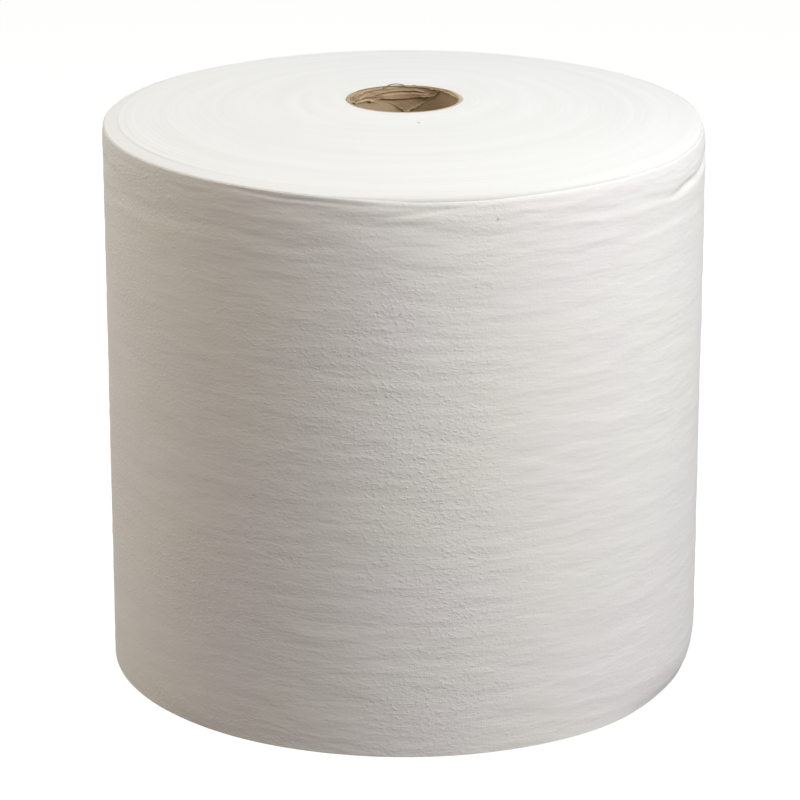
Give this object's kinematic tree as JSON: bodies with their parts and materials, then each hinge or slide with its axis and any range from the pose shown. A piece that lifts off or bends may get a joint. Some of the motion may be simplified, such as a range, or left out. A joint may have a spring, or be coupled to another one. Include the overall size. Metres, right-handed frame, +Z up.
{
  "type": "paper towel roll",
  "caption": "Wide wound roll of white absorbent paper on an open board core, standing on one end, its kraft core lining torn loose at the upper mouth.",
  "frame": {"origin": "centre of the roll's foot, on the surface that it stands on", "axes": "+Z up along the core, -Y towards the viewer of the picture; the web's tail is at +Y"},
  "size_m": [0.3397, 0.34, 0.3302],
  "materials": {
    "absorbent_paper": "soft, finely creped, matt",
    "core_board": "wound greyboard, paler at its cut ends, matt",
    "kraft_ply": "unbleached kraft, crumpled and torn"
  },
  "bodies": {
    "root": {"paper_roll": "absorbent_paper", "core_tube": "core_board", "loose_inner_ply": "kraft_ply"}
  },
  "joints": []
}
